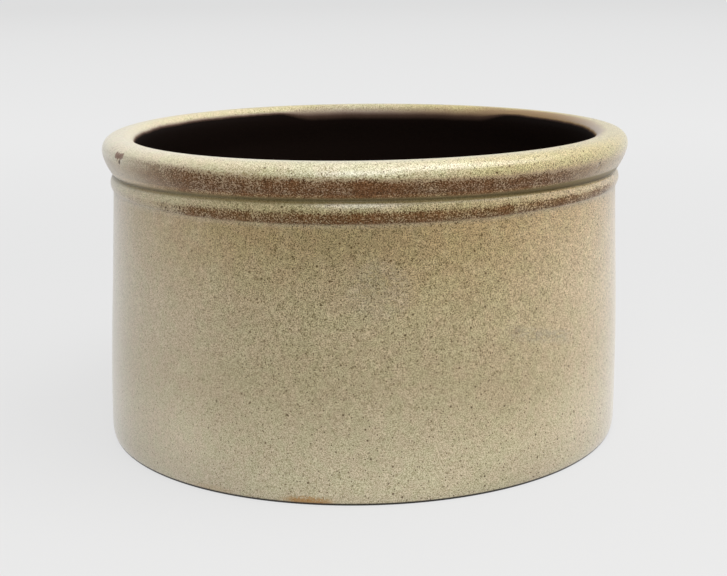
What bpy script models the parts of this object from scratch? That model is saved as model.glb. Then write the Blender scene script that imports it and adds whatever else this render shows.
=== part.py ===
"""Low stoneware fermenting crock with two half-moon pressing weights.

The frame is the crock's own: +Z up, origin at the centre of the base it stands on.
Lengths are metres. The crock is one turned wall; the weights lie loose on its floor
and lift straight up and out through the mouth.
"""

import math

import bmesh
import bpy

# ---- Driving dimensions --------------------------------------------------------------

HEIGHT = 0.1715            # base to the top of the lip
LIP_RADIUS = 0.149         # widest point of the rolled lip
LIP_WIDEST_Z = 0.164       # height of that widest point
NOTCH_RADIUS = 0.1434      # sharp notch under the lip
NOTCH_Z = 0.1515
BEAD_PROUD = 0.0018        # how far the bead below the notch swells
BEAD_LOW_Z = 0.1410        # where the bead dies into the body
BODY_TOP_RADIUS = 0.1437
BODY_FLARE = 0.0039        # the body is this much wider at its foot than under the bead
FOOT_ROUND = 0.0025        # rounding at the foot

MOUTH_RADIUS = 0.130       # inside of the lip at its narrowest
MOUTH_Z = 0.1625
INNER_RADIUS = 0.133       # inside of the wall
INNER_TOP_Z = 0.144        # where the wall starts to roll in towards the mouth
FLOOR_Z = 0.012            # thickness of the floor
FLOOR_FILLET = 0.014       # between floor and wall

CROWN_INNER = 0.1378       # the lip's flat crown runs between these radii
CROWN_OUTER = 0.1395
LIP_SQUARENESS = 2.3       # 2 is an ellipse, more is squarer

WEIGHT_RADIUS = 0.116      # half discs that pass the mouth with room for fingers
WEIGHT_THICKNESS = 0.020
WEIGHT_SPLIT = 0.003       # gap between the two halves
WEIGHT_CORNER = 0.007      # plan rounding at the tips of each half
WEIGHT_EDGE = 0.003        # rounding of the upper and lower edges
FINGER_HOLE_RADIUS = 0.014
TOUCH_GAP = 0.0003         # left between pieces that rest on each other

TURN_STEPS = 96
HOLE_STEPS = 32
WEIGHT_ARC_STEPS = 48
CORNER_STEPS = 5

SALT_GLAZE = (0.46, 0.37, 0.25, 1.0)
BISQUE = (0.52, 0.42, 0.30, 1.0)


# ---- Helpers -------------------------------------------------------------------------

def clear_scene():
    for obj in list(bpy.data.objects):
        bpy.data.objects.remove(obj, do_unlink=True)


def clay(name, colour, roughness):
    mat = bpy.data.materials.new(name)
    mat.use_nodes = True
    shader = mat.node_tree.nodes["Principled BSDF"]
    shader.inputs["Base Color"].default_value = colour
    shader.inputs["Roughness"].default_value = roughness
    shader.inputs["Metallic"].default_value = 0.0
    mat.diffuse_color = colour
    return mat


def add_object(name, mesh, mat, location=(0.0, 0.0, 0.0)):
    obj = bpy.data.objects.new(name, mesh)
    obj.location = location
    obj.data.materials.append(mat)
    bpy.context.scene.collection.objects.link(obj)
    return obj


def steps(count):
    """Fractions 0 to 1 at the ends of count equal steps."""
    return [i / count for i in range(count + 1)]


# ---- The crock's turned profile --------------------------------------------------------

def inner_profile():
    """(radius, height) from the middle of the floor up to the start of the mouth."""
    points = [(0.0, FLOOR_Z)]
    centre_r = INNER_RADIUS - FLOOR_FILLET
    centre_z = FLOOR_Z + FLOOR_FILLET
    for t in steps(5):
        angle = math.radians(-90.0 + 90.0 * t)
        points.append((centre_r + FLOOR_FILLET * math.cos(angle),
                       centre_z + FLOOR_FILLET * math.sin(angle)))
    points.append((INNER_RADIUS, 0.5 * (centre_z + INNER_TOP_Z)))
    for t in steps(4)[:-1]:
        ease = 0.5 - 0.5 * math.cos(math.pi * t)
        points.append((INNER_RADIUS + (MOUTH_RADIUS - INNER_RADIUS) * ease,
                       INNER_TOP_Z + (MOUTH_Z - INNER_TOP_Z) * t))
    return points


def superellipse(t):
    """Unit quarter curve, from (1, 0) at t = 0 to (0, 1) at t = 1."""
    angle = 0.5 * math.pi * t
    power = 2.0 / LIP_SQUARENESS
    return max(math.cos(angle), 0.0) ** power, math.sin(angle) ** power


def lip_profile():
    """Up the inside of the lip, over its crown and down to the notch."""
    points = []
    for t in steps(5):
        across, up = superellipse(t)
        points.append((CROWN_INNER - (CROWN_INNER - MOUTH_RADIUS) * across,
                       MOUTH_Z + (HEIGHT - MOUTH_Z) * up))
    for t in reversed(steps(5)):
        across, up = superellipse(t)
        points.append((CROWN_OUTER + (LIP_RADIUS - CROWN_OUTER) * across,
                       LIP_WIDEST_Z + (HEIGHT - LIP_WIDEST_Z) * up))
    for t in steps(5)[1:]:
        points.append((LIP_RADIUS - (LIP_RADIUS - NOTCH_RADIUS) * t ** 2.2,
                       LIP_WIDEST_Z + (NOTCH_Z - LIP_WIDEST_Z) * t))
    return points


def bead_profile():
    """The half-round bead between the notch and the body."""
    points = []
    for t in steps(6)[1:]:
        base = NOTCH_RADIUS + (BODY_TOP_RADIUS - NOTCH_RADIUS) * t
        points.append((base + BEAD_PROUD * math.sin(math.pi * t),
                       NOTCH_Z + (BEAD_LOW_Z - NOTCH_Z) * t))
    return points


def body_profile():
    """Down the straight wall, round the foot and in to the middle of the base."""
    points = []
    foot_radius = BODY_TOP_RADIUS + BODY_FLARE
    for t in steps(5)[1:]:
        points.append((BODY_TOP_RADIUS + BODY_FLARE * (1.0 - (1.0 - t) ** 1.6),
                       BEAD_LOW_Z + (FOOT_ROUND - BEAD_LOW_Z) * t))
    for t in steps(3)[1:]:
        angle = math.radians(-90.0 * t)
        points.append((foot_radius - FOOT_ROUND + FOOT_ROUND * math.cos(angle),
                       FOOT_ROUND + FOOT_ROUND * math.sin(angle)))
    points.append((0.0, 0.0))
    return points


def make_crock(mat):
    profile = inner_profile() + lip_profile() + bead_profile() + body_profile()
    mesh = bpy.data.meshes.new("crock_body")
    edges = [(i, i + 1) for i in range(len(profile) - 1)]
    mesh.from_pydata([(r, 0.0, z) for r, z in profile], edges, [])
    crock = add_object("crock_body", mesh, mat)
    turn = crock.modifiers.new("turn", 'SCREW')
    turn.axis = 'Z'
    turn.angle = 2.0 * math.pi
    turn.screw_offset = 0.0
    turn.steps = TURN_STEPS
    turn.render_steps = TURN_STEPS
    turn.use_merge_vertices = True
    turn.merge_threshold = 0.00005
    turn.use_smooth_shade = True
    return crock


# ---- The weights -----------------------------------------------------------------------

def half_disc_outline():
    """Plan of the half on the +X side, anticlockwise, with its two tips rounded."""
    flat = 0.5 * WEIGHT_SPLIT
    tip_x = flat + WEIGHT_CORNER
    tip_y = math.sqrt((WEIGHT_RADIUS - WEIGHT_CORNER) ** 2 - tip_x ** 2)
    tip_angle = math.atan2(tip_y, tip_x)
    points = []
    for t in steps(WEIGHT_ARC_STEPS):
        angle = -tip_angle + 2.0 * tip_angle * t
        points.append((WEIGHT_RADIUS * math.cos(angle), WEIGHT_RADIUS * math.sin(angle)))
    for t in steps(CORNER_STEPS)[1:]:
        angle = tip_angle + (math.pi - tip_angle) * t
        points.append((tip_x + WEIGHT_CORNER * math.cos(angle),
                       tip_y + WEIGHT_CORNER * math.sin(angle)))
    for t in steps(CORNER_STEPS)[:-1]:
        angle = math.pi + (math.pi - tip_angle) * t
        points.append((tip_x + WEIGHT_CORNER * math.cos(angle),
                       -tip_y + WEIGHT_CORNER * math.sin(angle)))
    return points


def hole_distance():
    """From the crock's axis to the finger hole: the half disc's centre of area."""
    return 4.0 * WEIGHT_RADIUS / (3.0 * math.pi)


def weight_mesh(name, side):
    """Slab of the half on the given side, its origin under the finger hole."""
    bm = bmesh.new()
    outline = half_disc_outline()
    if side < 0:
        outline = [(-x, y) for x, y in reversed(outline)]
    verts = [bm.verts.new((x - side * hole_distance(), y, 0.0)) for x, y in outline]
    face = bm.faces.new(verts)
    raised = bmesh.ops.extrude_face_region(bm, geom=[face])
    top = [item for item in raised["geom"] if isinstance(item, bmesh.types.BMVert)]
    bmesh.ops.translate(bm, verts=top, vec=(0.0, 0.0, WEIGHT_THICKNESS))
    bmesh.ops.recalc_face_normals(bm, faces=bm.faces)
    mesh = bpy.data.meshes.new(name)
    bm.to_mesh(mesh)
    bm.free()
    return mesh


def finger_hole_cutter(name, weight):
    bm = bmesh.new()
    bmesh.ops.create_cone(bm, cap_ends=True, segments=HOLE_STEPS,
                          radius1=FINGER_HOLE_RADIUS, radius2=FINGER_HOLE_RADIUS,
                          depth=3.0 * WEIGHT_THICKNESS)
    mesh = bpy.data.meshes.new(name)
    bm.to_mesh(mesh)
    bm.free()
    cutter = bpy.data.objects.new(name, mesh)
    bpy.context.scene.collection.objects.link(cutter)
    cutter.parent = weight
    cutter.hide_render = True
    cutter.display_type = 'WIRE'
    return cutter


def make_weight(name, side, mat):
    weight = add_object(name, weight_mesh(name, side), mat,
                        (side * hole_distance(), 0.0, FLOOR_Z + TOUCH_GAP))
    hole = weight.modifiers.new("finger_hole", 'BOOLEAN')
    hole.operation = 'DIFFERENCE'
    hole.solver = 'EXACT'
    hole.object = finger_hole_cutter(name + "_hole_cutter", weight)
    soften = weight.modifiers.new("soft_edges", 'BEVEL')
    soften.width = WEIGHT_EDGE
    soften.segments = 2
    soften.limit_method = 'ANGLE'
    soften.angle_limit = math.radians(40.0)
    weight.data.shade_smooth()
    weight.data.set_sharp_from_angle(angle=math.radians(40.0))
    return weight


def main():
    clear_scene()
    glazed = clay("salt_glazed_stoneware", SALT_GLAZE, 0.42)
    bisque = clay("unglazed_stoneware", BISQUE, 0.85)
    make_crock(glazed)
    make_weight("weight_left", -1, bisque)
    make_weight("weight_right", 1, bisque)


main()
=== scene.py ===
"""Looks of a low stoneware crock and its two pressing weights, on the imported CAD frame.

The crock is one turned clay wall: salt glaze outside, dark slip inside, bare clay under the
foot. Its mesh follows the CAD outline with the lean, the wavering lip and the small faults
of a hand-turned pot. Lengths are metres, and the crock's front faces -Y.
"""

import math

import bmesh
import bpy
import numpy as np
from mathutils import Matrix, Vector


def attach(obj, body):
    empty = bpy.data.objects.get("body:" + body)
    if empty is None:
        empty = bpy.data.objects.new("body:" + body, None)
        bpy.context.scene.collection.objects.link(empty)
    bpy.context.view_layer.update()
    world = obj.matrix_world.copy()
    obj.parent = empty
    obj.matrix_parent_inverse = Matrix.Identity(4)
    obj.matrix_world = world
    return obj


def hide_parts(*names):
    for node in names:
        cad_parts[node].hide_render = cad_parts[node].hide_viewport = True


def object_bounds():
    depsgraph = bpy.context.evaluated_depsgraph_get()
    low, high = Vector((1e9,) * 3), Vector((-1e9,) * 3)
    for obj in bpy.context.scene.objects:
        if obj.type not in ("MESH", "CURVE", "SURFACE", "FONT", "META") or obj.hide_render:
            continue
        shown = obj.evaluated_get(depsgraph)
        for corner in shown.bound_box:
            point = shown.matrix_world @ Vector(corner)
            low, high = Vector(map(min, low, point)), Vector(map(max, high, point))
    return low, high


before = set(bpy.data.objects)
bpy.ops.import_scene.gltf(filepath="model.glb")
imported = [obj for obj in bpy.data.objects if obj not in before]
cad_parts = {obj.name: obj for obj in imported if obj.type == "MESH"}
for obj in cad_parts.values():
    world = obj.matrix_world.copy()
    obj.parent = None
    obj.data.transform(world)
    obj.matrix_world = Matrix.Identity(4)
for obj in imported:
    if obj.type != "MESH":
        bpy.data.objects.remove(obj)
cad_low, cad_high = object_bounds()

# ---- Driving dimensions ----------------------------------------------------------------

HEIGHT = cad_high[2]                  # top of the lip
LIP_RADIUS = 0.5 * (cad_high[0] - cad_low[0])
LIP_WIDEST_Z = HEIGHT - 0.0075
LIP_SQUARENESS = 2.3                  # 2 is an ellipse, more is squarer
CROWN_INNER = LIP_RADIUS - 0.0112     # the lip's flat crown runs between these radii
CROWN_OUTER = LIP_RADIUS - 0.0095
NOTCH_RADIUS = LIP_RADIUS - 0.0062
NOTCH_Z = HEIGHT - 0.0200
GROOVE_DEPTH = 0.0007                 # the notch ends in a narrow groove this deep
BEAD_PROUD = 0.0018
BEAD_LOW_Z = HEIGHT - 0.0297
BODY_TOP_RADIUS = LIP_RADIUS - 0.0057
BODY_FLARE = 0.0041
FOOT_INSET = 0.0018                   # the wall curves in this far at the foot
FOOT_RISE = 0.0075                    # starting at this height
MOUTH_RADIUS = LIP_RADIUS - 0.0190
MOUTH_Z = HEIGHT - 0.0090
INNER_RADIUS = LIP_RADIUS - 0.0160
INNER_TOP_Z = HEIGHT - 0.0275
FLOOR_Z = 0.0120
FLOOR_FILLET = 0.0140

LEAN = 0.0215                         # the axis leans this much to +X per metre of height
LIP_TILT = 0.0036                     # the lip drops this much per metre towards +X
LIP_NOD = 0.0020                      # and this much per metre towards the back
LIP_TWIST = 0.0003                    # and its front right and back left rise this much
NOTCH_WAVER = 0.0015                  # the notch is this much higher front and back
NOTCH_DROP = 0.0004                   # and this much lower front right and back left
BULGE = 0.00018                       # the wall strays from round by about this much
RING_DEPTH = 0.00030                  # finger rings left inside by throwing
RING_PITCH = 0.0170
TURN_STEPS = 480
CROWN_STEPS = 12                      # from the mouth up to the crown of the lip
PIN_RADIUS = 0.0004                   # the first and last rings stop this short of the axis

# dents in the lip, a chip on the left and a nick on the right: centre, reach and depth
NICK = (0.1244, -0.0859, 0.1595)
DENTS = (
    ((-0.1252, -0.0749, 0.1652), 0.0022, 0.0006),
    (NICK, 0.0014, 0.0004),
)

TABLE_RADIUS = 12.0
GLOW_NEAR = (0.655, 0.655, 0.655)     # the table's own light near the crock
GLOW_MID = (0.725, 0.725, 0.725)      # 1.5 m from it
GLOW_FAR = (0.655, 0.655, 0.655)      # 9 m from it
GLOW_FRONT = (0.20, 0.20, 0.20)       # in front of it
WORLD_FRONT = 0.14                    # the room's light from the front
WORLD_BACK = 0.85                     # and from behind
WORLD_RIGHT = 0.15                    # more from the right, less from the left

CAMERA_DISTANCE = 5.318 * LIP_RADIUS  # from the crock's axis
CAMERA_HEIGHT = 1.776 * LIP_RADIUS
CAMERA_PITCH = math.radians(11.684)   # looking down
CAMERA_YAW = math.radians(0.135)
CAMERA_ROLL = math.radians(-0.870)
LENS_MM = 68.40
SENSOR_MM = 36.0
IMAGE_WIDTH = 727
SHIFT_PIXELS = -40.0


# ---- The crock's outline ----------------------------------------------------------------

def steps(count):
    """Fractions 0 to 1 at the ends of count equal steps."""
    return [i / count for i in range(count + 1)]


def superellipse(t):
    """Unit quarter curve, from (1, 0) at t = 0 to (0, 1) at t = 1."""
    angle = 0.5 * math.pi * t
    power = 2.0 / LIP_SQUARENESS
    return max(math.cos(angle), 0.0) ** power, math.sin(angle) ** power


def inside_outline():
    """(radius, height) from the middle of the floor up to the mouth."""
    flat = INNER_RADIUS - FLOOR_FILLET
    points = [(PIN_RADIUS + (flat - PIN_RADIUS) * t, FLOOR_Z) for t in steps(12)[:-1]]
    for t in steps(6):
        angle = math.radians(-90.0 + 90.0 * t)
        points.append((flat + FLOOR_FILLET * math.cos(angle),
                       FLOOR_Z + FLOOR_FILLET * (1.0 + math.sin(angle))))
    wall_low = FLOOR_Z + FLOOR_FILLET
    for t in steps(30)[1:]:
        ring = RING_DEPTH * math.sin(2.0 * math.pi * (INNER_TOP_Z - wall_low) * t / RING_PITCH)
        points.append((INNER_RADIUS + ring * math.sin(math.pi * t),
                       wall_low + (INNER_TOP_Z - wall_low) * t))
    for t in steps(10)[1:-1]:
        ease = 0.5 - 0.5 * math.cos(math.pi * t)
        points.append((INNER_RADIUS + (MOUTH_RADIUS - INNER_RADIUS) * ease,
                       INNER_TOP_Z + (MOUTH_Z - INNER_TOP_Z) * t))
    return points


def lip_outline():
    """Up the inside of the lip, over its crown and down its underside to the notch."""
    points = []
    for t in steps(CROWN_STEPS):
        across, up = superellipse(t)
        points.append((CROWN_INNER - (CROWN_INNER - MOUTH_RADIUS) * across,
                       MOUTH_Z + (HEIGHT - MOUTH_Z) * up))
    for t in reversed(steps(14)):
        across, up = superellipse(t)
        points.append((CROWN_OUTER + (LIP_RADIUS - CROWN_OUTER) * across,
                       LIP_WIDEST_Z + (HEIGHT - LIP_WIDEST_Z) * up))
    for t in steps(20)[1:]:
        cut = GROOVE_DEPTH * max(0.0, (t - 0.90) / 0.10)
        points.append((LIP_RADIUS - (LIP_RADIUS - NOTCH_RADIUS) * t ** 1.75 - cut,
                       LIP_WIDEST_Z + (NOTCH_Z - LIP_WIDEST_Z) * t))
    return points


def bead_outline():
    """The half-round bead between the notch and the body."""
    points = []
    for t in steps(24)[1:]:
        base = NOTCH_RADIUS + (BODY_TOP_RADIUS - NOTCH_RADIUS) * t
        cut = GROOVE_DEPTH * max(0.0, 1.0 - t / 0.09)
        points.append((base + BEAD_PROUD * math.sin(math.pi * t) ** 0.7 - cut,
                       NOTCH_Z + (BEAD_LOW_Z - NOTCH_Z) * t))
    return points


def body_outline():
    """Down the wall, round the foot and in to the middle of the base."""
    points = []
    foot_radius = BODY_TOP_RADIUS + BODY_FLARE
    for t in steps(48)[1:]:
        points.append((BODY_TOP_RADIUS + BODY_FLARE * (1.0 - (1.0 - t) ** 1.6),
                       BEAD_LOW_Z + (FOOT_RISE - BEAD_LOW_Z) * t))
    flat = foot_radius - FOOT_INSET
    for t in steps(10)[1:]:
        angle = math.radians(-90.0 * t)
        points.append((flat + FOOT_INSET * math.cos(angle),
                       FOOT_RISE + FOOT_RISE * math.sin(angle)))
    for t in steps(8)[1:]:
        points.append((flat + (PIN_RADIUS - flat) * t, 0.0))
    return points


def path_lengths(outline, zero_index):
    """Distance along the outline from one of its points, negative before it."""
    points = np.array(outline)
    gaps = np.hypot(*np.diff(points, axis=0).T)
    run = np.concatenate([[0.0], np.cumsum(gaps)])
    return run - run[zero_index]


# ---- The crock's mesh --------------------------------------------------------------------

def waver(radius, height, angle):
    """Moves one ring of the outline the way the hand-turned pot strays from round."""
    high = max(height, 0.0) / HEIGHT
    swell = BULGE * (np.sin(2.0 * angle + 1.0 + 31.0 * height)
                     + 0.6 * np.sin(5.0 * angle - 57.0 * height))
    x = (radius + swell) * np.cos(angle) + LEAN * height
    y = (radius + swell) * np.sin(angle)
    z = height - high ** 4 * radius * (LIP_TILT * np.cos(angle) + LIP_NOD * np.sin(angle))
    z = z - high ** 4 * LIP_TWIST * np.sin(2.0 * angle)
    near_notch = math.exp(-((height - NOTCH_Z) / 0.006) ** 2)
    z = z - near_notch * (NOTCH_WAVER * np.cos(2.0 * angle) - NOTCH_DROP * np.sin(2.0 * angle))
    return x, y, z


def slip_line(angles):
    """Height of the inside slip's edge round the pot, and how blurred it is there.

    The edge dips at the back, and is a little higher at the back right.
    """
    back = np.cos(angles - math.radians(80.0))
    low = np.clip((back - 0.82) / 0.09, 0.0, 1.0)
    low = low * low * (3.0 - 2.0 * low)
    high = np.clip((np.cos(angles - math.radians(40.0)) - 0.80) / 0.20, 0.0, 1.0)
    return HEIGHT - 0.0036 + 0.0007 * high - 0.0052 * low, 0.0009 + 0.0022 * low


def turned_surface(outline, angles):
    """The outline turned once round the axis, with its waver and dents: vertices and faces."""
    verts = np.concatenate([np.stack(waver(*point, angles), axis=1) for point in outline])
    outward = verts * (1.0, 1.0, 0.0)
    outward /= np.linalg.norm(outward, axis=1, keepdims=True)
    for centre, reach, depth in DENTS:
        away = np.linalg.norm(verts - centre, axis=1, keepdims=True)
        verts -= depth * np.exp(-(away / reach) ** 2) * outward
    turns = len(angles)
    last = (len(outline) - 1) * turns
    faces = []
    for here in range(0, last, turns):
        there = here + turns
        for i in range(turns):
            j = (i + 1) % turns
            faces.append((here + i, here + j, there + j, there + i))
    faces.append(tuple(reversed(range(turns))))
    faces.append(tuple(range(last, last + turns)))
    return verts, faces


def add_values(mesh, name, values):
    """Stores one number per vertex for the material to read."""
    store = mesh.attributes.new(name, 'FLOAT', 'POINT')
    store.data.foreach_set("value", values.astype(np.float32))


def crock_mesh(name):
    """The whole crock as one closed turned surface."""
    inside = inside_outline()
    outline = inside + lip_outline() + bead_outline() + body_outline()
    path = path_lengths(outline, len(inside) + CROWN_STEPS + 1)
    angles = np.linspace(0.0, 2.0 * math.pi, TURN_STEPS, endpoint=False)
    verts, faces = turned_surface(outline, angles)
    mesh = bpy.data.meshes.new(name)
    mesh.from_pydata(verts.tolist(), [], faces)
    line, blur = slip_line(angles)
    add_values(mesh, "path", np.repeat(path, TURN_STEPS))
    add_values(mesh, "level", np.repeat([height for radius, height in outline], TURN_STEPS))
    add_values(mesh, "slip_line", np.tile(line, len(outline)))
    add_values(mesh, "slip_blur", np.tile(blur, len(outline)))
    mesh.shade_smooth()
    mesh.update()
    return mesh


def add_piece(name, mesh, material, body, node):
    """Shows mesh in place of a CAD node, riding on that node's body."""
    piece = bpy.data.objects.new(name, mesh)
    bpy.context.scene.collection.objects.link(piece)
    mesh.materials.append(material)
    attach(piece, body)
    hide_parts(node)


# ---- Colours and marks of the fired clay, with painted shade and light ----------------------

TAN_DEEP = (0.372, 0.268, 0.120)      # under the bead, partly painted shade below the lip
TAN_MID = (0.436, 0.355, 0.215)       # half-way down
TAN_PALE = (0.580, 0.505, 0.350)      # at the foot, partly painted light from the table
TAN_MOTTLE = (0.57, 0.49, 0.33)       # small pale clouds
PAINTED_SHADE_BROWN = (0.24, 0.18, 0.085)       # painted shade below the front of the bead
PAINTED_SHADE_LOW_SIDES = (0.40, 0.325, 0.20)       # painted shade low down at the left and the right
PAINTED_SHADE_FOOT = (0.36, 0.30, 0.20)         # painted shade round the foot, but not at its very front
LIP_CREAM = (0.475, 0.42, 0.245)
LIP_CLOUD = (0.49, 0.445, 0.29)
# painted light on the lip's left; painted shade and a yellower cream on its right
LIP_LEFT_PAINTED_LIGHT = (0.60, 0.525, 0.36)
LIP_RIGHT_YELLOW_AND_SHADE = (0.375, 0.325, 0.138)
BEAD_CREAM = (0.46, 0.385, 0.22)
BEAD_RIGHT = (0.42, 0.33, 0.185)
PEPPER = (0.060, 0.026, 0.003)
IRON_BLUSH = (0.29, 0.175, 0.082)
IRON_RUST = (0.195, 0.080, 0.030)
IRON_BLACK = (0.050, 0.018, 0.006)
# pooled glaze and painted shade in the notch
POOLED_GLAZE_AND_SHADE = (0.150, 0.112, 0.040)
# painted reflection, a pale haze at the left and right of the wall
PAINTED_SIDE_HAZE = (0.62, 0.58, 0.50)
CHIP_BROWN = (0.160, 0.060, 0.030)
NICK_DARK = (0.070, 0.045, 0.032)
SCORCH_ORANGE = (0.38, 0.175, 0.036)
SMEAR_GREY = (0.24, 0.215, 0.18)
FRINGE_LEFT = (0.21, 0.150, 0.118)
FRINGE_RIGHT = (0.27, 0.175, 0.085)
SLIP_THIN = (0.060, 0.036, 0.026)
SLIP_BLACK = (0.007, 0.004, 0.003)
SLIP_BROWN = (0.022, 0.011, 0.006)    # low down inside
# painted contact shadow round the bottom of the foot
PAINTED_CONTACT_SHADOW = (0.030, 0.027, 0.024)
BARE_CLAY = (0.58, 0.50, 0.38)
WEIGHT_TAN = (0.50, 0.41, 0.28)
WEIGHT_PALE = (0.60, 0.51, 0.37)
WEIGHT_SPECK = (0.14, 0.07, 0.03)

# tones that the glaze is multiplied by
# painted shade on the front of the wall below the notch
FRONT_PAINTED_SHADE = (0.82, 0.82, 0.75)
FIRE_TONE = (1.09, 1.01, 0.88)
OLIVE_TONE = (0.985, 1.013, 0.960)
ROSE_TONE = (1.020, 0.985, 0.985)
LIGHT_GRAIN = (1.78, 1.82, 2.02)
DARK_GRAIN = (0.32, 0.27, 0.04)
# painted reflection on the lip's underside above the notch
PAINTED_REFLECTION_LINE = (1.35, 1.35, 1.35)

PAINTED_SHADE_CENTRE = (-0.005, -0.143, 0.140)  # the painted shade is darkest round here
THICK_IRON = (0.004, -0.148, 0.1602)  # the iron under the lip is thickest here
WRINKLE = (0.009, -0.145, 0.109)      # middle of a wrinkled patch

# dots: spacing, radius in spacings, share of the places left empty (below 0, none), seed
PEPPER_SIZES = ((0.0023, 0.16, -0.1, 5.0), (0.0058, 0.10, 0.40, 8.0))

# the chipped patch on the lip: places and the reach of each
CHIP = (
    ((-0.1276, -0.0700, 0.1673), 0.0030),
    ((-0.1262, -0.0723, 0.1670), 0.0027),
    ((-0.1248, -0.0747, 0.1671), 0.0027),
    ((-0.1235, -0.0768, 0.1675), 0.0027),
)

# small dark nicks: place, solid radius and faded radius
NICKS = (
    ((-0.1254, -0.0742, 0.1641), 0.0006, 0.0017),
    (NICK, 0.0004, 0.0013),
    ((0.1244, -0.0860, 0.1614), 0.0004, 0.0013),
)

# scorches at the front of the foot: middle, half width and strength
SCORCHES = ((-0.028, 0.0150, 0.76), (-0.078, 0.0140, 0.20))


# ---- Material building --------------------------------------------------------------------

class Tree:
    """Short calls for building one material's node tree."""

    def __init__(self, name):
        self.material = bpy.data.materials.new(name)
        self.material.use_nodes = True
        self.nodes = self.material.node_tree.nodes
        self.links = self.material.node_tree.links
        self.shader = self.nodes["Principled BSDF"]
        self.place = self.nodes.new("ShaderNodeTexCoord").outputs["Object"]

    def put(self, socket, value):
        """Links value into the socket if it is an output, and sets it there if not."""
        if isinstance(value, bpy.types.NodeSocket):
            self.links.new(value, socket)
        elif isinstance(value, tuple) and socket.type == 'RGBA':
            socket.default_value = (*value, 1.0)
        else:
            socket.default_value = value

    def math(self, operation, *values):
        """One Math node."""
        node = self.nodes.new("ShaderNodeMath")
        node.operation = operation
        for socket, value in zip(node.inputs, values):
            self.put(socket, value)
        return node.outputs[0]

    def times(self, *values):
        """The product of all the values."""
        product = values[0]
        for value in values[1:]:
            product = self.math('MULTIPLY', product, value)
        return product

    def plus(self, base, value, scale):
        """base + value * scale"""
        return self.math('MULTIPLY_ADD', value, scale, base)

    def highest(self, *values):
        """The largest of the values."""
        top = values[0]
        for value in values[1:]:
            top = self.math('MAXIMUM', top, value)
        return top

    def unsigned(self, value):
        """The value without its sign."""
        return self.math('ABSOLUTE', value)

    def split(self):
        """X, Y and Z of the place on the object."""
        node = self.nodes.new("ShaderNodeSeparateXYZ")
        self.links.new(self.place, node.inputs[0])
        return node.outputs

    def mix(self, amount, low, high, blend='MIX'):
        """Colour low where amount is 0 and high where it is 1, or another blend of them."""
        node = self.nodes.new("ShaderNodeMix")
        node.data_type = 'RGBA'
        node.blend_type = blend
        self.put(node.inputs[0], amount)
        self.put(node.inputs[6], low)
        self.put(node.inputs[7], high)
        return node.outputs[2]

    def rise(self, value, start, end):
        """0 where value is at start, 1 at end, smooth between; start may be above end."""
        node = self.nodes.new("ShaderNodeMapRange")
        node.interpolation_type = 'SMOOTHSTEP'
        self.put(node.inputs[0], value)
        if start < end:
            low, high, first, second = start, end, 0.0, 1.0
        else:
            low, high, first, second = end, start, 1.0, 0.0
        for index, number in zip((1, 2, 3, 4), (low, high, first, second)):
            node.inputs[index].default_value = number
        return node.outputs[0]

    def noise(self, size, detail=2.0, rough=0.5, stretch=(1.0, 1.0, 1.0), seed=0.0):
        """Noise whose blobs are about size across, drawn out along an axis by stretch."""
        shift = self.nodes.new("ShaderNodeMapping")
        shift.inputs["Location"].default_value = (seed, 1.7 * seed, 2.3 * seed)
        shift.inputs["Scale"].default_value = tuple(1.0 / s for s in stretch)
        self.links.new(self.place, shift.inputs["Vector"])
        node = self.nodes.new("ShaderNodeTexNoise")
        self.links.new(shift.outputs[0], node.inputs["Vector"])
        node.inputs["Scale"].default_value = 1.0 / size
        node.inputs["Detail"].default_value = detail
        node.inputs["Roughness"].default_value = rough
        return node.outputs["Fac"]

    def cells(self, size, seed=0.0):
        """Distance to the nearest scattered point, in cell sizes, and a random number each."""
        shift = self.nodes.new("ShaderNodeMapping")
        shift.inputs["Location"].default_value = (seed, seed, seed)
        self.links.new(self.place, shift.inputs["Vector"])
        node = self.nodes.new("ShaderNodeTexVoronoi")
        self.links.new(shift.outputs[0], node.inputs["Vector"])
        node.inputs["Scale"].default_value = 1.0 / size
        split = self.nodes.new("ShaderNodeSeparateColor")
        self.links.new(node.outputs["Color"], split.inputs[0])
        return node.outputs["Distance"], split.outputs[0]

    def near(self, point, inner, outer):
        """1 within inner of a point of the surface, 0 beyond outer."""
        node = self.nodes.new("ShaderNodeVectorMath")
        node.operation = 'DISTANCE'
        self.links.new(self.place, node.inputs[0])
        node.inputs[1].default_value = point
        return self.rise(node.outputs["Value"], outer, inner)

    def attribute(self, name):
        node = self.nodes.new("ShaderNodeAttribute")
        node.attribute_name = name
        return node.outputs["Fac"]

    def bump(self, height, distance, strength=1.0):
        node = self.nodes.new("ShaderNodeBump")
        node.inputs["Strength"].default_value = strength
        node.inputs["Distance"].default_value = distance
        self.put(node.inputs["Height"], height)
        return node.outputs[0]

    def finish(self, colour, roughness, normal=None):
        """Connects the shader and returns the material."""
        self.put(self.shader.inputs["Base Color"], colour)
        self.put(self.shader.inputs["Roughness"], roughness)
        if normal is not None:
            self.links.new(normal, self.shader.inputs["Normal"])
        return self.material


# ---- The crock's glaze and slip, with painted shade and light ---------------------------------

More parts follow.
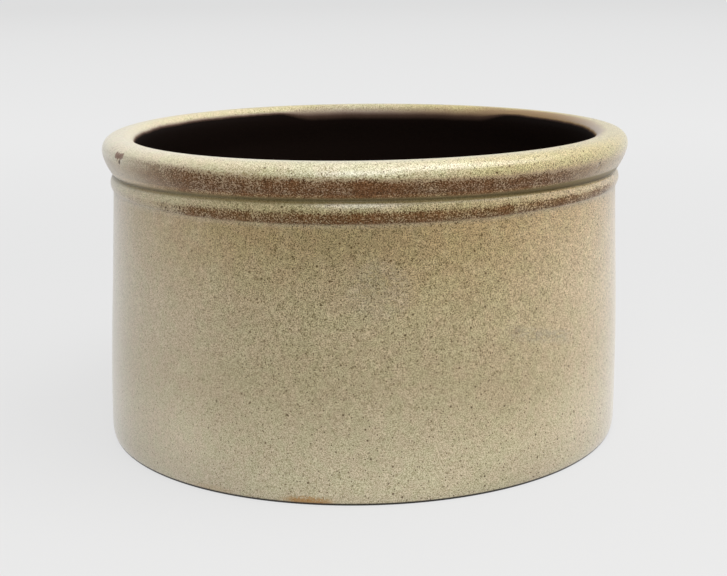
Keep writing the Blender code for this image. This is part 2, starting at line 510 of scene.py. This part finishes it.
class PotTree(Tree):
    """The crock's node tree, with the places on the pot that its coats are laid by."""

    def __init__(self, name):
        super().__init__(name)
        self.x, self.y, self.z = self.split()

        # along the outline from the lip's crown, and height before the lean and the waver
        self.path = self.attribute("path")
        self.level = self.attribute("level")
        self.inside = self.rise(self.path, -0.0010, -0.0040)
        self.outside = self.plus(1.0, self.inside, -1.0)

        # 1 at the left, at the right, and near the right edge
        self.west = self.rise(self.x, -0.020, -0.120)
        self.east = self.rise(self.x, 0.000, 0.130)
        self.far_east = self.rise(self.x, 0.05, 0.12)

        # metres towards the front, metres from the line through both sides, 1 at the sides
        self.facing = self.plus(self.times(self.y, -0.993), self.x, 0.122)
        self.turned = self.unsigned(self.plus(self.facing, self.far_east, -0.022))
        self.sides = self.rise(self.turned, 0.115, 0.055)

        # wide clouds in the glaze, and the patchy iron with its two browns
        self.drift = self.noise(0.070, 3.0, 0.55, seed=3.0)
        speckle = self.noise(0.00075, 2.0, 0.7, seed=23.0)
        self.patchy = self.plus(speckle, self.noise(0.010, 2.0, 0.6, seed=29.0), 0.30)
        self.iron = self.mix(self.rise(speckle, 0.44, 0.60), IRON_RUST, IRON_BLACK)


def wall_glaze(pot):
    """Tan salt glaze: olive and deep under the bead, paler towards the foot, partly painted shade
    and light.
    """
    cloud = pot.plus(pot.level, pot.drift, 0.045)
    mottle = pot.noise(0.010, 4.0, 0.6, seed=7.0)
    # the deep-to-pale gradient is partly the glaze's tone, partly painted shade below the lip and
    # painted light from the table near the foot
    tan = pot.mix(pot.rise(cloud, 0.175, 0.107), TAN_DEEP, TAN_MID)
    tan = pot.mix(pot.rise(cloud, 0.088, 0.024), tan, TAN_PALE)
    tan = pot.mix(pot.times(pot.rise(mottle, 0.45, 0.75), 0.25), tan, TAN_MOTTLE)
    # painted shade below the front of the bead
    tan = pot.mix(pot.times(pot.near(PAINTED_SHADE_CENTRE, 0.010, 0.055), 0.32), tan, PAINTED_SHADE_BROWN)
    # painted shade low down at the left and the right, near the table
    low = pot.times(pot.rise(pot.level, 0.060, 0.012), pot.sides, 0.40)
    tan = pot.mix(low, tan, PAINTED_SHADE_LOW_SIDES)
    # painted shade round the foot where it meets the table, except at its very front
    foot = pot.times(pot.rise(pot.level, 0.030, 0.004), pot.rise(pot.y, -0.152, -0.120), 0.45)
    return pot.mix(foot, tan, PAINTED_SHADE_FOOT)


def cream_glaze(pot, glaze):
    """Cream on the lip and on the upper half of the bead, with painted light on the lip's left
    and painted shade on its right.
    """
    cream = pot.mix(pot.rise(pot.drift, 0.40, 0.62), LIP_CREAM, LIP_CLOUD)
    # painted light on the left of the lip, painted shade and a yellower cream on the right
    cream = pot.mix(pot.times(pot.west, 0.8), cream, LIP_LEFT_PAINTED_LIGHT)
    cream = pot.mix(pot.times(pot.east, 0.85), cream, LIP_RIGHT_YELLOW_AND_SHADE)
    glaze = pot.mix(pot.rise(pot.level, 0.1610, 0.1655), glaze, cream)
    bead = pot.times(pot.rise(pot.level, 0.1455, 0.1480), pot.rise(pot.level, 0.1526, 0.1511))
    cap = pot.mix(pot.rise(pot.x, 0.020, 0.110), BEAD_CREAM, BEAD_RIGHT)
    return pot.mix(bead, glaze, cap)


def tones_and_front_shade(pot, glaze):
    """Painted shade on the front below the notch, warmer on the right, and softly clouded."""
    # painted shade, darker and browner, on the front below the notch
    front = pot.times(pot.rise(pot.facing, 0.095, 0.138), pot.rise(pot.level, 0.1535, 0.1515))
    glaze = pot.mix(front, glaze, FRONT_PAINTED_SHADE, 'MULTIPLY')
    warm = pot.times(pot.east, pot.plus(0.3, pot.rise(pot.z, 0.02, 0.10), 0.5))
    glaze = pot.mix(warm, glaze, FIRE_TONE, 'MULTIPLY')
    hue = pot.noise(0.009, 2.0, 0.6, seed=61.0)
    tone = pot.mix(pot.rise(hue, 0.36, 0.64), OLIVE_TONE, ROSE_TONE)
    return pot.mix(1.0, glaze, tone, 'MULTIPLY')


def grain_and_pepper(pot, glaze):
    """Fine grain and brown dots in two sizes. Also gives how dark a speck each point is."""
    coarse = pot.noise(0.0020, 2.0, 0.6, seed=17.0)
    grain = pot.plus(pot.noise(0.00052, 1.0, 0.5, seed=11.0), coarse, 0.20)
    rub = pot.mix(pot.rise(grain, 0.38, 0.82), LIGHT_GRAIN, DARK_GRAIN)
    faint = pot.plus(1.0, pot.west, -0.42)
    keen = pot.times(pot.plus(0.60, pot.rise(pot.level, 0.03, 0.12), 0.40), faint)
    keen = pot.plus(keen, pot.rise(pot.level, 0.164, 0.168), -0.22)
    glaze = pot.mix(keen, glaze, rub, 'MULTIPLY')
    specks = pot.times(pot.rise(grain, 0.58, 0.80), 0.34)
    for spacing, radius, empty, seed in PEPPER_SIZES:
        distance, lot = pot.cells(spacing, seed)
        ragged = pot.plus(distance, grain, 0.10)
        dot = pot.times(pot.rise(ragged, radius + 0.09, radius + 0.03),
                        pot.rise(lot, empty, empty + 0.1), faint)
        glaze = pot.mix(pot.times(dot, 0.85), glaze, PEPPER)
        specks = pot.highest(specks, pot.times(dot, 0.75))
    return glaze, specks


def iron_under_lip(pot, glaze):
    """A brown blush with a band of iron specks on the lip's underside, thin at the sides."""
    edge = pot.plus(pot.level, pot.rise(pot.x, -0.04, -0.13), -0.003)
    edge = pot.plus(edge, pot.rise(pot.x, -0.015, -0.05), -0.0006)
    edge = pot.plus(edge, pot.rise(pot.x, -0.010, 0.02), 0.0008)
    edge = pot.plus(edge, pot.rise(pot.x, 0.02, 0.08), 0.0016)
    thin = pot.plus(1.0, pot.sides, -0.88)
    blush = pot.times(pot.rise(edge, 0.1659, 0.1641), pot.rise(pot.level, 0.1530, 0.1560),
                      thin, 0.55)
    glaze = pot.mix(blush, glaze, IRON_BLUSH)
    cover = pot.plus(pot.patchy, pot.rise(edge, 0.1662, 0.1620), 0.26)
    cover = pot.plus(cover, pot.near(THICK_IRON, 0.003, 0.012), 0.08)
    band = pot.times(pot.rise(cover, 0.76, 0.91), pot.rise(pot.level, 0.1515, 0.1540),
                     pot.rise(edge, 0.1674, 0.1656), thin)
    return pot.mix(pot.times(band, 0.90), glaze, pot.iron), band


def notch_glaze(pot, glaze):
    """Pooled glaze with painted shade in the notch, and a painted reflection as a pale line above
    it.
    """
    floor = pot.plus(pot.level, pot.far_east, -0.0014)
    brim = pot.plus(pot.level, pot.far_east, -0.0024)
    depth = pot.plus(pot.plus(0.70, pot.west, -0.25), pot.far_east, 0.26)
    # pooled glaze, darkened further as painted shade in the recess
    pool_and_shade = pot.times(pot.rise(brim, 0.1536, 0.1520), pot.rise(floor, 0.1493, 0.1506), depth)
    glaze = pot.mix(pool_and_shade, glaze, POOLED_GLAZE_AND_SHADE)
    # painted reflection: a pale line on the lip's underside above the notch
    line = pot.times(pot.rise(pot.level, 0.1528, 0.1542), pot.rise(pot.level, 0.1558, 0.1547))
    return pot.mix(line, glaze, PAINTED_REFLECTION_LINE, 'MULTIPLY'), pool_and_shade


def iron_on_bead(pot, glaze):
    """Iron specks on the bead's lower half, thick in front and behind, none at the sides."""
    thick = pot.rise(pot.plus(pot.facing, pot.far_east, 0.022), 0.075, 0.115)
    thick = pot.highest(thick, pot.rise(pot.facing, -0.05, -0.10))
    hem = pot.plus(pot.level, pot.rise(pot.unsigned(pot.x), 0.040, 0.100), -0.0002)
    hem = pot.plus(hem, pot.rise(pot.x, 0.05, 0.11), -0.0007)
    cover = pot.plus(pot.plus(pot.patchy, thick, 0.16), pot.rise(hem, 0.1490, 0.1452), 0.24)
    rust = pot.times(pot.rise(cover, 0.90, 1.06), pot.rise(hem, 0.1409, 0.1423),
                     pot.rise(pot.level, 0.1495, 0.1480), pot.rise(pot.turned, 0.025, 0.065))
    return pot.mix(pot.times(rust, 0.88), glaze, pot.iron), rust


def painted_side_haze(pot, glaze):
    """A faint pale painted reflection on the left and the right of the wall."""
    # painted reflection at the left and right sides of the wall
    bloom = pot.times(pot.rise(pot.turned, 0.070, 0.010), 0.25,
                      pot.rise(pot.level, 0.1640, 0.1600))
    return pot.mix(bloom, glaze, PAINTED_SIDE_HAZE)


def lip_marks(pot, glaze):
    """The red-brown chip on the left of the lip, and small dark nicks."""
    chip = pot.highest(*[pot.near(place, 0.0010, reach) for place, reach in CHIP])
    chip = pot.plus(chip, pot.noise(0.0010, 2.0, 0.7, seed=83.0), 1.4)
    chip = pot.times(pot.rise(chip, 1.02, 1.46), 0.85)
    glaze = pot.mix(chip, glaze, CHIP_BROWN)
    nicks = pot.highest(*[pot.near(*nick) for nick in NICKS])
    glaze = pot.mix(pot.times(nicks, 0.85), glaze, NICK_DARK)
    return glaze, pot.highest(nicks, chip)


def foot_scorches(pot, glaze):
    """Burnt orange patches with ragged edges at the front of the foot."""
    ragged = pot.plus(pot.z, pot.patchy, 0.009)
    scorches = []
    for middle, half, strength in SCORCHES:
        off = pot.unsigned(pot.math('SUBTRACT', pot.x, middle))
        off = pot.plus(off, pot.patchy, -0.018)
        scorch = pot.times(pot.rise(off, half - 0.0105, 0.3 * half - 0.0105),
                           pot.rise(ragged, 0.0110, 0.0092),
                           pot.rise(pot.y, 0.0, -0.05), strength)
        glaze = pot.mix(scorch, glaze, SCORCH_ORANGE)
        scorches.append(scorch)
    return glaze, pot.highest(*scorches)


def grey_smear(pot, glaze):
    """A faint, streaky and slightly slanted grey smear on the right of the wall."""
    off = pot.unsigned(pot.math('SUBTRACT', pot.plus(pot.z, pot.x, 0.28), 0.1035))
    streak = pot.noise(0.0012, 2.0, 0.7, stretch=(4.0, 4.0, 1.0), seed=71.0)
    smear = pot.times(pot.rise(off, 0.0055, 0.0015), pot.rise(pot.x, 0.068, 0.080),
                      pot.rise(pot.x, 0.114, 0.104), pot.rise(pot.y, 0.0, -0.05),
                      pot.rise(streak, 0.36, 0.62), 0.30)
    return pot.mix(smear, glaze, SMEAR_GREY)


def inside_slip(pot, glaze):
    """Dark slip inside, thin and brown towards its edge. Also gives where it lies."""
    wander = pot.plus(pot.level, pot.noise(0.030, 3.0, 0.6, seed=41.0), 0.0016)
    wander = pot.plus(wander, pot.patchy, 0.0010)
    above = pot.math('SUBTRACT', wander, pot.attribute("slip_line"))
    above = pot.math('DIVIDE', above, pot.attribute("slip_blur"))
    fringe = pot.mix(pot.east, FRINGE_LEFT, FRINGE_RIGHT)
    reach = pot.plus(above, pot.rise(pot.x, 0.070, 0.120), -3.0)
    stain = pot.mix(pot.rise(reach, 3.6, 1.4), glaze, fringe)
    stain = pot.mix(pot.rise(above, 2.0, 1.0), stain, SLIP_THIN)
    deep = pot.mix(pot.rise(pot.level, 0.120, 0.070), SLIP_BLACK, SLIP_BROWN)
    stain = pot.mix(pot.rise(above, 1.2, 0.0), stain, deep)
    slip = pot.times(pot.inside, pot.rise(above, 3.0, 1.6))
    return pot.mix(pot.inside, glaze, stain), slip


def bare_foot(pot, colour):
    """A painted contact shadow as a dark edge round the foot, and bare clay under it."""
    # painted contact shadow where the foot meets the table
    contact_shadow = pot.rise(pot.z, 0.0018, 0.0010)
    colour = pot.mix(contact_shadow, colour, PAINTED_CONTACT_SHADOW)
    bare = pot.times(pot.rise(pot.z, 0.0003, 0.0001), pot.rise(pot.path, 0.184, 0.187))
    return pot.mix(bare, colour, BARE_CLAY), contact_shadow


def glaze_skin(pot):
    """Orange-peel skin, rougher in one wrinkled patch on the front."""
    crease = pot.noise(0.0045, 3.0, 0.7, stretch=(1.0, 1.0, 0.45), seed=51.0)
    crease = pot.unsigned(pot.math('SUBTRACT', crease, 0.5))
    crease = pot.times(pot.rise(crease, 0.05, 0.0), pot.near(WRINKLE, 0.008, 0.020))
    peel = pot.plus(pot.noise(0.0013, 2.0, 0.5, seed=13.0), crease, 1.2)
    return pot.bump(peel, 0.00012)


def crock_material():
    """Salt glaze with iron, marks and painted shade and light outside, slip inside, bare clay
    underneath.
    """
    pot = PotTree("salt_glaze_and_slip_with_painted_light_and_shade")
    glaze = cream_glaze(pot, wall_glaze(pot))
    glaze, specks = grain_and_pepper(pot, tones_and_front_shade(pot, glaze))
    glaze, band = iron_under_lip(pot, glaze)
    glaze, pool_and_shade = notch_glaze(pot, glaze)
    glaze, rust = iron_on_bead(pot, glaze)
    glaze, nicks = lip_marks(pot, painted_side_haze(pot, glaze))
    glaze, scorch = foot_scorches(pot, glaze)
    colour, slip = inside_slip(pot, grey_smear(pot, glaze))
    colour, contact_shadow = bare_foot(pot, colour)
    normal = glaze_skin(pot)

    # iron, pooled glaze with its painted shade, marks and the painted contact shadow are dull
    # outside, and so is the slip except low down
    dull = pot.times(pot.highest(band, rust, specks, pool_and_shade, nicks, scorch, contact_shadow), pot.outside)
    matt_slip = pot.times(slip, pot.rise(pot.level, 0.030, 0.120))
    back_lip = pot.times(pot.rise(pot.path, 0.004, -0.001), pot.rise(pot.y, 0.0, 0.08), 0.85)
    dull = pot.highest(dull, matt_slip, back_lip)
    socket = pot.shader.inputs
    pot.put(socket["Specular IOR Level"], pot.plus(0.25, dull, -0.22))
    pot.put(socket["Coat Weight"], pot.plus(0.90, dull, -0.88))
    pot.put(socket["Coat IOR"], 1.85)
    pot.put(socket["Coat Roughness"], 0.31)
    pot.put(socket["Coat Normal"], normal)
    pot.put(socket["Sheen Weight"], pot.times(pot.outside, 0.30))
    pot.put(socket["Sheen Roughness"], 0.35)
    return pot.finish(colour, pot.plus(0.45, matt_slip, 0.45), normal)


def weight_material():
    """Bare fired clay with a few brown specks."""
    tree = Tree("bisque_stoneware")
    drift = tree.noise(0.030, 4.0, 0.6, seed=2.0)
    colour = tree.mix(tree.rise(drift, 0.35, 0.65), WEIGHT_TAN, WEIGHT_PALE)
    distance, lot = tree.cells(0.0030, seed=9.0)
    dot = tree.rise(distance, 0.25, 0.12)
    rare = tree.rise(lot, 0.70, 0.74)
    colour = tree.mix(tree.times(dot, rare), colour, WEIGHT_SPECK)
    grit = tree.noise(0.0009, 2.0, 0.6, seed=4.0)
    normal = tree.bump(grit, 0.0001, 0.7)
    return tree.finish(colour, 0.85, normal)


# ---- Stage, light and camera ---------------------------------------------------------------

def make_stage():
    """A wide pale table that glows a little, brightest behind the crock, dimmer in front."""
    tree = Tree("pale_table")
    tree.put(tree.shader.inputs["Specular IOR Level"], 0.0)
    length = tree.nodes.new("ShaderNodeVectorMath")
    length.operation = 'LENGTH'
    tree.links.new(tree.place, length.inputs[0])
    span = length.outputs["Value"]
    glow = tree.mix(tree.rise(span, 0.3, 1.6), GLOW_NEAR, GLOW_MID)
    glow = tree.mix(tree.rise(span, 1.5, 9.0), glow, GLOW_FAR)
    glow = tree.mix(tree.rise(tree.split()["Y"], -0.22, -0.70), glow, GLOW_FRONT)
    tree.put(tree.shader.inputs["Emission Color"], glow)
    tree.put(tree.shader.inputs["Emission Strength"], 1.0)
    tree.finish((0.12, 0.12, 0.12), 0.9)
    bm = bmesh.new()
    bmesh.ops.create_circle(bm, cap_ends=True, segments=128, radius=TABLE_RADIUS)
    mesh = bpy.data.meshes.new("table")
    bm.to_mesh(mesh)
    bm.free()
    mesh.materials.append(tree.material)
    table = bpy.data.objects.new("table", mesh)
    bpy.context.scene.collection.objects.link(table)


def add_area_light(name, place, target, size, watts, colour=(1.0, 1.0, 1.0)):
    """A rectangular softbox at place that shines at target."""
    light = bpy.data.lights.new(name, 'AREA')
    light.shape = 'RECTANGLE'
    light.size, light.size_y = size
    light.energy = watts
    light.color = colour
    lamp = bpy.data.objects.new(name, light)
    lamp.location = place
    aim = Vector(target) - Vector(place)
    lamp.rotation_euler = aim.to_track_quat('-Z', 'Y').to_euler()
    bpy.context.scene.collection.objects.link(lamp)


def make_world():
    """A soft room: bright above, behind and to the right, dim on the camera's side."""
    world = bpy.data.worlds.new("room")
    world.use_nodes = True
    nodes = world.node_tree.nodes
    links = world.node_tree.links
    place = nodes.new("ShaderNodeTexCoord")
    split = nodes.new("ShaderNodeSeparateXYZ")
    links.new(place.outputs["Generated"], split.inputs[0])
    back = nodes.new("ShaderNodeMapRange")
    back.interpolation_type = 'SMOOTHSTEP'
    links.new(split.outputs["Y"], back.inputs[0])
    for index, number in zip((1, 2, 3, 4), (-0.9, 0.3, WORLD_FRONT, WORLD_BACK)):
        back.inputs[index].default_value = number
    side = nodes.new("ShaderNodeMath")
    side.operation = 'MULTIPLY_ADD'
    links.new(split.outputs["X"], side.inputs[0])
    side.inputs[1].default_value = WORLD_RIGHT
    links.new(back.outputs[0], side.inputs[2])
    links.new(side.outputs[0], nodes["Background"].inputs[1])
    nodes["Background"].inputs[0].default_value = (0.98, 0.99, 1.0, 1.0)
    bpy.context.scene.world = world


def make_lights():
    """One light above, a large one high on the right and a smaller one in front."""
    warm = (1.0, 0.99, 0.97)
    add_area_light("overhead", (0.0, 0.10, 1.6), (0.0, 0.0, 0.0), (1.2, 1.2), 3.0)
    add_area_light("key_right", (0.85, -0.42, 1.60), (0.0, 0.0, 0.0), (1.35, 1.35), 20.5, warm)
    add_area_light("front_soft", (-0.04, -1.10, 1.00), (0.0, 0.0, 0.1), (0.60, 0.90), 8.5)


def make_camera():
    """The viewpoint: 0.8 m from the crock's axis, 0.26 m up, looking down by 12 degrees."""
    sin_yaw, cos_yaw = math.sin(CAMERA_YAW), math.cos(CAMERA_YAW)
    sin_pitch, cos_pitch = math.sin(CAMERA_PITCH), math.cos(CAMERA_PITCH)
    sin_roll, cos_roll = math.sin(CAMERA_ROLL), math.cos(CAMERA_ROLL)
    forward = Vector((sin_yaw * cos_pitch, cos_yaw * cos_pitch, -sin_pitch))
    level = Vector((cos_yaw, -sin_yaw, 0.0))
    upright = level.cross(forward)
    right = cos_roll * level + sin_roll * upright
    up = cos_roll * upright - sin_roll * level
    lens = bpy.data.cameras.new("camera")
    lens.sensor_width = SENSOR_MM
    lens.lens = LENS_MM
    lens.shift_y = SHIFT_PIXELS / IMAGE_WIDTH
    camera = bpy.data.objects.new("camera", lens)
    turn = Matrix((right, up, -forward)).transposed()
    place = Matrix.Translation((0.0, -CAMERA_DISTANCE, CAMERA_HEIGHT))
    camera.matrix_world = place @ turn.to_4x4()
    bpy.context.scene.collection.objects.link(camera)
    bpy.context.scene.camera = camera


# ---- Assembly ----------------------------------------------------------------------------------

make_stage()
make_world()
make_lights()
make_camera()
bpy.context.scene.view_settings.view_transform = 'Standard'

add_piece("crock_shell", crock_mesh("crock_shell"), crock_material(),
          "crock", "crock_body")

bisque = weight_material()
for weight in ("weight_left", "weight_right"):
    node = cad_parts[weight]
    node.data.materials.clear()
    node.data.materials.append(bisque)
